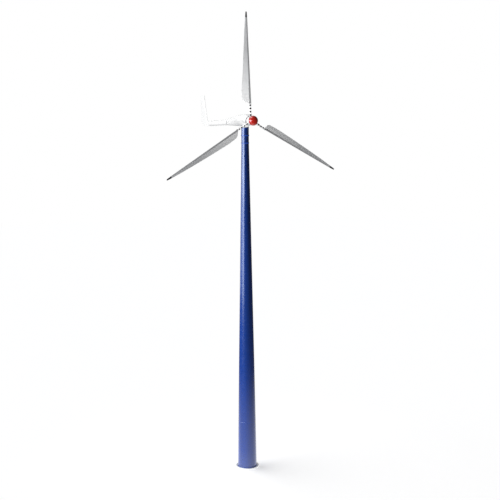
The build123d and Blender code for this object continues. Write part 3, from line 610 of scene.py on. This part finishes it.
def smooth_table(rows, y):
    """Section (half width, above, below) at y, smooth through the rows."""
    for k in range(len(rows) - 1):
        if y <= rows[k + 1][0] or k == len(rows) - 2:
            break
    y0, y1 = rows[k][0], rows[k + 1][0]
    t = (y - y0) / (y1 - y0)
    values = []
    for c in (1, 2, 3):
        def slope(i):
            a, b = rows[max(i - 1, 0)], rows[min(i + 1, len(rows) - 1)]
            return (b[c] - a[c]) / (b[0] - a[0])
        v0, v1 = rows[k][c], rows[k + 1][c]
        m0, m1 = slope(k) * (y1 - y0), slope(k + 1) * (y1 - y0)
        values.append((2 * t ** 3 - 3 * t ** 2 + 1) * v0 + (t ** 3 - 2 * t ** 2 + t) * m0
                      + (3 * t ** 2 - 2 * t ** 3) * v1 + (t ** 3 - t ** 2) * m1)
    return values


def egg_row(rows, y, inset, start, end, count):
    """Part of the egg-shaped section at y, between two angles in degrees."""
    wide, above, below = smooth_table(rows, y)
    points = []
    for angle in spaced(start, end, count):
        t = math.radians(angle)
        tall = above if angle <= 180 else below
        points.append(Vector(((wide - inset) * math.cos(t), y, (tall - inset) * math.sin(t))))
    return points


def cover_half(start, end):
    """Moulded half cover: outer skin, inner skin, rounded edges, and flat rims at both ends."""
    front = COVER_SECTIONS[0][0]
    ys = [front] + spaced(front + COVER_EDGE, COVER_END - COVER_EDGE, 90) + [COVER_END]
    rows = []
    for y in ys:
        trim = COVER_EDGE if y in (ys[0], ys[-1]) else 0.0
        outer = egg_row(COVER_SECTIONS, y, trim, start, end, COVER_POINTS)
        inner = egg_row(COVER_SECTIONS, y, SKIN, end, start, COVER_POINTS)
        for point in (outer[0], outer[-1], inner[0], inner[-1]):
            point.z += SPLIT_GAP if start == 0 else -SPLIT_GAP
        rows.append(outer + inner)
    shell = Shape().grid(rows, loop_u=True)
    for row in (rows[0], rows[-1]):
        shell.grid([row[:COVER_POINTS], row[COVER_POINTS:][::-1]])
    return shell


def nacelle_cover(name, start, end, node, extra=None):
    cover = Shape().add(cover_half(start, end), SHAFT)
    if extra:
        cover.add(extra)
    cover.piece(name, "nacelle", "white_gloss_shell", node)


def neck_skirt():
    """Round neck under the nacelle, with a rolled lower lip, running up inside the cover."""
    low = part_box("nacelle_cover_lower")[0].z
    profile = corner(((SKIRT_OUTER + SKIRT_INNER) / 2, low + SKIRT_LIP), SKIRT_LIP, 180, 360, 8)
    top = low + SKIRT_HEIGHT
    profile += [(SKIRT_OUTER, low + 0.012), (SKIRT_OUTER, top), (SKIRT_INNER, top)]
    return lathe(profile, SEGMENTS)


def split_line_screws():
    """Domed screws with washers along the covers' parting line."""
    dome = [(0.0005, -0.0042)] + corner((0.0, 0.0), 0.0062, -60, -20, 4) + [(0.006, 0.0)]
    head = lathe(dome, 24, False, "Y")
    washer = band(0.0, 0.008, -0.0008, 0.0006, 0.0004, 24, "Y")
    screws = Shape()
    for y in SCREW_POSITIONS:
        wide = smooth_table(COVER_SECTIONS, y)[0]
        for side in (-1, 1):
            turn = Matrix.Rotation(math.radians(90 * side), 4, "Z")
            spot = Matrix.Translation((side * (wide - 0.0006), y, 0.014)) @ turn
            screws.add(Shape().add(head).add(washer), SHAFT @ spot)
    return screws


def build_nacelle():
    nacelle_cover("cover_upper", 0, 180, "nacelle_cover_upper")
    nacelle_cover("cover_lower", 180, 360, "nacelle_cover_lower", neck_skirt())
    split_line_screws().piece("parting_screws", "nacelle", "zinc_fastener", "cover_screws")


# ---- spinner ----
SPINNER_RADIUS = 0.114
SPINNER_RIM = -0.095
SPINNER_NOSE = -0.215
SPINNER_WIDEST = SPINNER_RIM - 0.025
SPINNER_WALL = 0.003


def build_spinner():
    """Moulded dome with a rolled rim, and a fine seam where the rim band meets it."""
    depth = SPINNER_WIDEST - SPINNER_NOSE
    outer = []
    for k in range(41):
        t = math.pi / 2 * k / 40
        outer.append((max(0.0002, SPINNER_RADIUS * math.sin(t)), SPINNER_WIDEST - depth * math.cos(t)))
    seam = SPINNER_WIDEST + 0.004
    outer += [(SPINNER_RADIUS, seam - 0.001), (SPINNER_RADIUS - 0.0009, seam), (SPINNER_RADIUS, seam + 0.001)]
    rim = [(SPINNER_RADIUS - 0.001, SPINNER_WIDEST + 0.012), (0.107, SPINNER_RIM - 0.003)]
    rim += [(0.1035, SPINNER_RIM - 0.0006), (0.1005, SPINNER_RIM), (0.0975, SPINNER_RIM - 0.0008)]
    inner = [(SPINNER_RADIUS - SPINNER_WALL, SPINNER_WIDEST)]
    for k in range(39, -1, -1):
        t = math.pi / 2 * k / 40
        inner.append((max(0.0002, (SPINNER_RADIUS - SPINNER_WALL) * math.sin(t)),
                      SPINNER_WIDEST - (depth - SPINNER_WALL) * math.cos(t)))
    dome = lathe(outer + rim + inner, 128, False, "Y")
    return dome.piece("nose_dome", "rotor", "red_gloss_shell", "spinner", place=SHAFT, sharp=60)


# ---- blades, in shaft coordinates with the span along +Z ----
ROTOR_RADIUS = 2.5
PANEL_ROOT = 0.400
TIP_START = 2.370
ROOT_PITCH = 30.0
TIP_PITCH = 3.0
ARM_WIDTH = 0.048
ARM_THICKNESS = 0.014
ARM_ROOT = 0.096
TONGUE_THICKNESS = 0.008
TONGUE_START = 0.250
TONGUE_OVERLAP = 0.030       # how far it runs in under the panel
SEAT_THICKNESS = 0.012       # hub seat in front of the arm, under the two inner bolts
SEAT_END = 0.238
BOLT_RADII = (0.135, 0.210, 0.285, 0.360)
BOLT_CAP = [  # radius, and height in front of the arm: a domed cap on its washer
    (0.0002, 0.010), (0.006, 0.0096), (0.011, 0.0086), (0.0155, 0.007), (0.0190, 0.0052), (0.0206, 0.0036),
    (0.0206, 0.0022), (0.0200, 0.0018), (0.0218, 0.0016), (0.0220, 0.0009), (0.0219, 0.0), (0.0002, 0.0)]
CHORD = [(PANEL_ROOT, 0.202), (0.690, 0.205), (1.330, 0.148), (2.060, 0.084), (TIP_START, 0.050),
         (ROTOR_RADIUS, 0.030)]
STRIP = [(PANEL_ROOT, 0.045), (TIP_START, 0.022), (ROTOR_RADIUS, 0.012)]
ROOT_SLANT = math.tan(math.radians(22))
ROOT_ROUND = 0.060           # corner of the panel at its root and trailing edge
NOSE_DOWN = 0.016            # length over which an end is rounded off


def pitch_at(r):
    share = max(0.0, (ROTOR_RADIUS - r) / (ROTOR_RADIUS - PANEL_ROOT))
    return math.radians(TIP_PITCH + (ROOT_PITCH - TIP_PITCH) * share ** 1.6)


def blade_point(r, along, side, swell):
    """Point of the blade's skin: along runs from the nose to the trailing edge, side is +1 in front."""
    chord = lerp(CHORD, r)
    f = min(1.0, max(0.0, along / chord))
    shape = 1.4845 * math.sqrt(f) - 0.63 * f - 1.758 * f ** 2 + 1.4215 * f ** 3 - 0.518 * f ** 4
    thickness = lerp([(PANEL_ROOT, 0.11), (ROTOR_RADIUS, 0.13)], r)
    out = side * swell * (thickness * chord * shape + 0.001 * f)
    back = along - lerp(STRIP, r) / 2
    beta = pitch_at(r)
    x = -back * math.cos(beta) - out * math.sin(beta)
    y = back * math.sin(beta) - out * math.cos(beta)
    return Vector((x, y, r))


def end_swell(distance):
    """Thickness share close to a rounded end."""
    if distance >= NOSE_DOWN:
        return 1.0
    return max(0.06, math.sqrt(max(0.0, 1 - (1 - distance / NOSE_DOWN) ** 2)))


def panel_root(share):
    """Span position of the panel's root edge, from the strip (0) to the trailing edge (1)."""
    length = lerp(CHORD, PANEL_ROOT) - lerp(STRIP, PANEL_ROOT)
    along = share * length
    start = PANEL_ROOT + along * ROOT_SLANT
    inside = along - (length - ROOT_ROUND)
    if inside > 0:
        start += ROOT_ROUND - math.sqrt(max(0.0, ROOT_ROUND ** 2 - inside ** 2))
    return start


def span_steps():
    """Shares of the span, close together at the rounded root."""
    near = [0.0006 * k * k for k in range(7)]
    return near + spaced(near[-1], 1.0, 84)[1:]


def blade_panel():
    shares = [0.5 - 0.5 * math.cos(math.pi * k / 20) for k in range(21)]
    rows = []
    for t in span_steps():
        upper, lower = [], []
        for s in shares:
            root = panel_root(s)
            r = root + t * (TIP_START - root)
            strip = lerp(STRIP, r) + 0.0002
            along = strip + s * (lerp(CHORD, r) - strip)
            swell = end_swell(r - root)
            upper.append(blade_point(r, along, 1, swell))
            lower.append(blade_point(r, along, -1, swell))
        rows.append(upper + lower[::-1])
    return Shape().grid(rows, loop_u=True, cap=True)


def blade_strip():
    rows = []
    for t in span_steps():
        r = PANEL_ROOT + t * (TIP_START - PANEL_ROOT)
        strip = lerp(STRIP, r)
        swell = end_swell(r - PANEL_ROOT)
        shares = [(k / 10) ** 2 for k in range(10, -1, -1)]
        row = [blade_point(r, strip * s, 1, swell) for s in shares]
        row += [blade_point(r, strip * s, -1, swell) for s in reversed(shares[:-1])]
        rows.append(row)
    return Shape().grid(rows, loop_u=True, cap=True)


def blade_tip():
    rows = []
    length = ROTOR_RADIUS - TIP_START
    for t in spaced(0.0, 1.0, 24):
        r = TIP_START + t * length
        left = max(0.0, ROTOR_RADIUS - r)
        narrow = 1.0 if left > 0.02 else max(0.25, math.sqrt(max(0.0, 1 - (1 - left / 0.02) ** 2)))
        chord = lerp(CHORD, r)
        shares = [(k / 12) ** 1.6 for k in range(12, -1, -1)]
        middle = chord / 2
        row = []
        for side, part in ((1, shares), (-1, shares[:-1][::-1])):
            for s in part:
                row.append(blade_point(r, middle + (s * chord - middle) * narrow, side, narrow))
        rows.append(row)
    return Shape().grid(rows, loop_u=True, cap=True)


def pitched(shape):
    return Shape().add(shape, Matrix.Rotation(math.radians(-ROOT_PITCH), 4, "Z"))


def tongue():
    """Flat plate laminated under the panel, bolted behind the arm."""
    half = ARM_WIDTH / 2 - 0.002
    outline = rounded_bar(-half, half, TONGUE_START, PANEL_ROOT + TONGUE_OVERLAP, 0.012)
    flat = plate(outline, TONGUE_THICKNESS, 0.0015)
    middle = (ARM_THICKNESS + TONGUE_THICKNESS) / 2
    return pitched(Shape().add(flat, Matrix.Translation((0, middle, 0))))


def arm():
    half = ARM_WIDTH / 2
    return pitched(plate(rounded_bar(-half, half, ARM_ROOT, PANEL_ROOT - 0.004, 0.009), ARM_THICKNESS, 0.002))


def blade_bolt(radius):
    """Domed black cap on a washer in front, nut and washer behind."""
    inner = radius < SEAT_END
    front = -ARM_THICKNESS / 2 - (SEAT_THICKNESS if inner else 0.0)
    back = ARM_THICKNESS / 2 + (0.0 if inner else TONGUE_THICKNESS)
    bolt = lathe([(r, front - rise) for r, rise in BOLT_CAP], 40, False, "Y")
    bolt.add(lathe([(0.008, front), (0.008, back + 0.001)], 24, False, "Y"))
    bolt.add(band(0.0002, 0.0165, back, back + 0.002, 0.0006, 32, "Y"))
    bolt.add(hexagon(0.0140, back + 0.002, back + 0.0100, 0.0012))
    return pitched(Shape().add(bolt, Matrix.Translation((0, 0, radius))))


def build_rotor():
    arms, bolts, tips = Shape(), Shape(), Shape()
    panels = []
    for k in range(3):
        place = SHAFT @ Matrix.Rotation(math.radians(120 * k), 4, "Y")
        panels.append(blade_panel().piece(f"panel_{k + 1}", "rotor", "blade_grey", f"blade_{k + 1}_panel",
                                          place=place))
        strip = blade_strip().add(tongue())
        strip.piece(f"strip_{k + 1}", "rotor", "blade_strip_grey", f"blade_{k + 1}_spar", place=place)
        arms.add(arm(), place)
        tips.add(blade_tip(), place)
        for radius in BOLT_RADII:
            bolts.add(blade_bolt(radius), place)
    arms.piece("arms", "rotor", "silver_arm_steel", "blade_arms")
    bolts.piece("bolts", "rotor", "black_fastener", "blade_bolts")
    tips.piece("tips", "rotor", "blade_tip_black", "blade_tips")
    return panels


# ---- tail, in shaft coordinates ----
JOINT_Y = 1.200
TAIL_START = 1.2145
BOOM_RADIUS = 0.065
BOOM_WALL = 0.004
BOOM_END = 2.390
FAIRING_END = 1.500
FIN_ROOT = BOOM_END - 0.090
FIN_THICKNESS = 0.016
FAIRING_SECTIONS = [(JOINT_Y, 0.084, 0.090, 0.077), (1.340, 0.074, 0.077, 0.071),
                    (FAIRING_END, 0.068, 0.068, 0.068)]


def boom_row(radius, y, turns):
    return [(radius * math.sin(t), y, radius * math.cos(t)) for t in turns]


def boom_tube():
    """Tube from the hinge plate to the fin, slotted at its end for the fin's root."""
    half_slot = math.asin((FIN_THICKNESS / 2 + 0.0003) / BOOM_RADIUS)
    bore = BOOM_RADIUS - BOOM_WALL
    turns = [half_slot + math.pi * 2 * k / 120 for k in range(120)]
    ys = spaced(TAIL_START, FIN_ROOT, 12)
    rows = [boom_row(BOOM_RADIUS, y, turns) for y in ys] + [boom_row(bore, y, turns) for y in reversed(ys)]
    shape = Shape().grid(rows, loop_u=True, loop_v=True)
    for side in (0.0, math.pi):
        turns = [t + side for t in spaced(half_slot, math.pi - half_slot, 40)]
        rows = [boom_row(BOOM_RADIUS, y, turns) + boom_row(bore, y, turns[::-1])
                for y in spaced(FIN_ROOT, BOOM_END, 6)]
        shape.grid(rows, loop_u=True, cap=True)
    return shape


def fairing():
    """Moulded fairing that carries the nacelle's lines down to the boom, with a rounded rear lip."""
    ys = spaced(TAIL_START, FAIRING_END - 0.002, 30)
    rows = [egg_row(FAIRING_SECTIONS, y, 0.0, 0, 360, 97)[:-1] for y in ys]
    rows.append(egg_row(FAIRING_SECTIONS, FAIRING_END - 0.0006, 0.0007, 0, 360, 97)[:-1])
    rows.append(egg_row(FAIRING_SECTIONS, FAIRING_END, 0.0022, 0, 360, 97)[:-1])
    for y in (FAIRING_END, TAIL_START):
        rows.append([((BOOM_RADIUS + 0.0002) * math.cos(t), y, (BOOM_RADIUS + 0.0002) * math.sin(t))
                     for t in (2 * math.pi * k / 96 for k in range(96))])
    return Shape().grid(rows, loop_u=True, loop_v=True)


def fin_outline():
    """(y, z) points of the fin, anticlockwise seen from +X: foot, trailing edge, top, leading edge."""
    foot = curve([(FIN_ROOT, -0.045, 0), (BOOM_END, -0.052, 0), (2.520, -0.062, 0), (2.680, -0.058, 0),
                  (2.860, -0.030, 0), (2.958, 0.040, 0)], 10)
    outline = [(p.x, p.y) for p in foot]
    outline += [(2.938 + 0.020 * (1 - t), 0.040 + 0.660 * t) for t in spaced(0.1, 0.95, 10)]
    outline += corner((2.9155, 0.7050), 0.0225, -5, 85, 6)
    outline += [(2.915 - 0.163 * t, 0.728 - 0.012 * t) for t in spaced(0.1, 0.9, 6)]
    outline += corner((2.7535, 0.6700), 0.046, 93, 158, 6)
    outline += [(2.706 - 0.094 * t, 0.680 - 0.480 * t) for t in spaced(0.06, 0.96, 14)]
    heel = curve([(2.612, 0.200, 0), (BOOM_END + 0.190, 0.090, 0), (BOOM_END + 0.090, 0.052, 0),
                  (FIN_ROOT, 0.045, 0)], 10)
    return outline + [(p.x, p.y) for p in heel]


def fin():
    flat = plate(fin_outline(), FIN_THICKNESS, 0.0045, 4)
    swap = Matrix(((0, 1, 0, 0), (1, 0, 0, 0), (0, 0, 1, 0), (0, 0, 0, 1)))
    return Shape().add(flat, swap)


def build_tail():
    boom_tube().piece("boom", "tail", "white_painted_metal", "tail_boom", place=SHAFT)
    fairing().piece("fairing", "tail", "white_gloss_shell", "boom_fairing", place=SHAFT)
    fin().piece("fin", "tail", "white_gloss_shell", "tail_fin", place=SHAFT)


# ---- stage, light and camera ----
FLOOR_RADIUS = 40.0
GLOW_NEAR = 0.57
GLOW_FAR = 0.53
GLOW_RADIUS = 6.0
POOL_BRIGHT = 1.25
POOL_DIM = 0.06
POOL_RADIUS = 9.0
PALE_BLUE = (0.78, 0.90, 1.0)
# Azimuth, elevation and strength. The first stands below the horizon, and the floor's rim cuts off most of
# it: without the floor, or with a smaller or larger one, the panels' brightness changes.
PANEL_SUNS = ((-65.0, -20.0, 9.19), (-10.0, 0.0, 1.69))
CAMERA_DISTANCE = 25.36       # level distance from the tower's axis
CAMERA_HEIGHT = 10.24
CAMERA_AZIMUTH = -25.07       # where it stands
LOOK_AZIMUTH = -25.294        # where it looks
LOOK_DOWN = 10.61
ROLL = -0.363
LENS = 77.26
SENSOR = 36.0


def add_floor():
    """Plain pale floor: even white to the camera, and to the object a pool of light that fades outwards."""
    m = Nodes("pale_floor", (0.93, 0.93, 0.935), 0.9)
    m.shader.inputs["Specular IOR Level"].default_value = 0.0
    m.shader.inputs["Emission Color"].default_value = (1, 1, 1, 1)
    m.colour(m.mix(m.noise(0.6, 2.0), (0.925, 0.925, 0.93), (0.935, 0.935, 0.94)))
    distance = m.add("ShaderNodeVectorMath", operation="LENGTH")
    m.link(m.place, distance.inputs[0])
    glow = m.span(distance.outputs["Value"], GLOW_NEAR, GLOW_FAR, 0.5, GLOW_RADIUS)
    m.link(glow, m.shader.inputs["Emission Strength"])
    pool = m.add("ShaderNodeEmission")
    brightness = m.span(distance.outputs["Value"], POOL_BRIGHT, POOL_DIM, 1.0, POOL_RADIUS)
    m.link(brightness, pool.inputs["Strength"])
    m.material.cycles.emission_sampling = "NONE"
    path = m.add("ShaderNodeLightPath")
    blend = m.add("ShaderNodeMixShader")
    m.link(path.outputs["Is Camera Ray"], blend.inputs[0])
    m.link(pool.outputs[0], blend.inputs[1])
    m.link(m.shader.outputs[0], blend.inputs[2])
    m.link(blend.outputs[0], m.tree.nodes["Material Output"].inputs["Surface"])
    rim = [(FLOOR_RADIUS * math.cos(t), FLOOR_RADIUS * math.sin(t), 0.0)
           for t in (2 * math.pi * k / 96 for k in range(96))]
    mesh = bpy.data.meshes.new("floor")
    mesh.from_pydata(rim, [], [tuple(range(96))])
    mesh.materials.append(m.material)
    floor = bpy.data.objects.new("floor", mesh)
    bpy.context.scene.collection.objects.link(floor)
    return floor


def add_world():
    """White to the camera, and a dimmer studio to the object."""
    world = bpy.data.worlds.new("studio")
    bpy.context.scene.world = world
    world.use_nodes = True
    world.cycles.sampling_method = "NONE"
    tree = world.node_tree
    back = tree.nodes["Background"]
    back.inputs["Color"].default_value = (0.95, 0.97, 1.0, 1)
    back.inputs["Strength"].default_value = 0.06
    white = tree.nodes.new("ShaderNodeBackground")
    white.inputs["Color"].default_value = (1, 1, 1, 1)
    white.inputs["Strength"].default_value = 1.0
    path = tree.nodes.new("ShaderNodeLightPath")
    mix = tree.nodes.new("ShaderNodeMixShader")
    tree.links.new(path.outputs["Is Camera Ray"], mix.inputs[0])
    tree.links.new(back.outputs[0], mix.inputs[1])
    tree.links.new(white.outputs[0], mix.inputs[2])
    tree.links.new(mix.outputs[0], tree.nodes["World Output"].inputs["Surface"])


def aim(obj, target):
    direction = Vector(target) - obj.location
    obj.rotation_euler = direction.to_track_quat("-Z", "Y").to_euler()


def add_sun(name, azimuth, elevation, strength, softness):
    """Sun at that azimuth and elevation, in degrees, seen from the object as the camera's are."""
    light = bpy.data.lights.new(name, "SUN")
    light.energy = strength
    light.angle = math.radians(softness)
    obj = bpy.data.objects.new(name, light)
    a, e = math.radians(azimuth), math.radians(elevation)
    obj.location = (20 * math.sin(a) * math.cos(e), -20 * math.cos(a) * math.cos(e), 20 * math.sin(e))
    bpy.context.scene.collection.objects.link(obj)
    aim(obj, (0, 0, 0))
    return obj


def add_panel(name, azimuth, distance, height, width, tall, power):
    """Upright soft box, facing the tower."""
    light = bpy.data.lights.new(name, "AREA")
    light.shape = "RECTANGLE"
    light.size = width
    light.size_y = tall
    light.energy = power
    obj = bpy.data.objects.new(name, light)
    a = math.radians(azimuth)
    obj.location = (distance * math.sin(a), -distance * math.cos(a), height)
    bpy.context.scene.collection.objects.link(obj)
    aim(obj, (0, 0, height))
    return obj


def spare(light, *objects):
    """The light falls on everything but these."""
    spared = bpy.data.collections.new(light.name + "_spared")
    for obj in objects:
        spared.objects.link(obj)
    for member in spared.collection_objects:
        member.light_linking.link_state = "EXCLUDE"
    light.light_linking.receiver_collection = spared


def keep_to(light, *objects):
    """The light falls on nothing but these."""
    lit = bpy.data.collections.new(light.name + "_lit")
    for obj in objects:
        lit.objects.link(obj)
    light.light_linking.receiver_collection = lit


def show_as_gloss(lights):
    """These lights only show as reflections, in the glossy blue and red coats."""
    coats = (MATERIALS["tower_paint"], MATERIALS["red_gloss_shell"])
    coated = bpy.data.collections.new("glossy_coats")
    for obj in bpy.context.scene.objects:
        if obj.type == "MESH" and obj.data.materials and obj.data.materials[0] in coats:
            coated.objects.link(obj)
    for light in lights:
        light.data.color = PALE_BLUE
        light.visible_diffuse = False
        light.light_linking.receiver_collection = coated


def add_lights(floor, spinner, panels, tower):
    """Soft key from the left, fills, tall sheets that only show as gloss, two suns for the panels."""
    add_sun("back_sun", -129.0, 61.0, 1.6, 45.0)
    key = add_sun("key_sun", -80.0, 12.0, 2.9, 25.0)
    low = add_panel("low_soft_box", -35.0, 13.0, 1.6, 6.0, 3.0, 1300.0)
    aim(low, HUB)
    front = add_panel("front_soft_box", 8.0, 12.0, 8.6, 6.0, 4.0, 600.0)
    right_fill = add_sun("right_fill", 130.0, 14.0, 2.0, 40.0)
    back_fill = add_sun("back_fill", 168.0, 20.0, 1.5, 40.0)
    for light in (key, low, front, right_fill, back_fill):
        light.visible_glossy = False
    tall = add_panel("left_soft_box", -84.0, 16.0, 7.5, 12.0, 13.0, 2300.0)
    rear = add_panel("rear_soft_box", -142.0, 16.0, 7.5, 12.0, 13.0, 800.0)
    upper = add_panel("upper_soft_box", -80.0, 16.0, 9.5, 22.0, 9.0, 3000.0)
    show_as_gloss((tall, rear, upper))
    for number, (azimuth, elevation, strength) in enumerate(PANEL_SUNS, 1):
        sun = add_sun(f"panel_sun_{number}", azimuth, elevation, strength, 30.0)
        sun.visible_glossy = False
        keep_to(sun, *panels)
    spare(key, floor, *panels)
    spare(front, floor, spinner, *tower, *panels)
    spare(back_fill, floor)
    spare(low, floor, *tower, *panels)
    spare(right_fill, floor, spinner, *tower)


def add_camera():
    data = bpy.data.cameras.new("camera")
    data.sensor_width = SENSOR
    data.lens = LENS
    data.clip_end = 1000.0
    camera = bpy.data.objects.new("camera", data)
    stand, look, down = (math.radians(v) for v in (CAMERA_AZIMUTH, LOOK_AZIMUTH, LOOK_DOWN))
    camera.location = (CAMERA_DISTANCE * math.sin(stand), -CAMERA_DISTANCE * math.cos(stand), CAMERA_HEIGHT)
    backward = Vector((math.sin(look) * math.cos(down), -math.cos(look) * math.cos(down), math.sin(down)))
    right = Vector((math.cos(look), math.sin(look), 0.0))
    up = backward.cross(right)
    roll = math.radians(ROLL)
    right_rolled = right * math.cos(roll) + up * math.sin(roll)
    up_rolled = up * math.cos(roll) - right * math.sin(roll)
    camera.rotation_euler = Matrix((right_rolled, up_rolled, backward)).transposed().to_euler()
    bpy.context.scene.collection.objects.link(camera)
    bpy.context.scene.camera = camera


bpy.context.scene.view_settings.view_transform = "Standard"
add_camera()
add_world()
floor = add_floor()
dress_cad_nodes()
tower = build_tower()
build_nacelle()
spinner = build_spinner()
blades = build_rotor()
build_tail()
add_lights(floor, spinner, blades, tower)
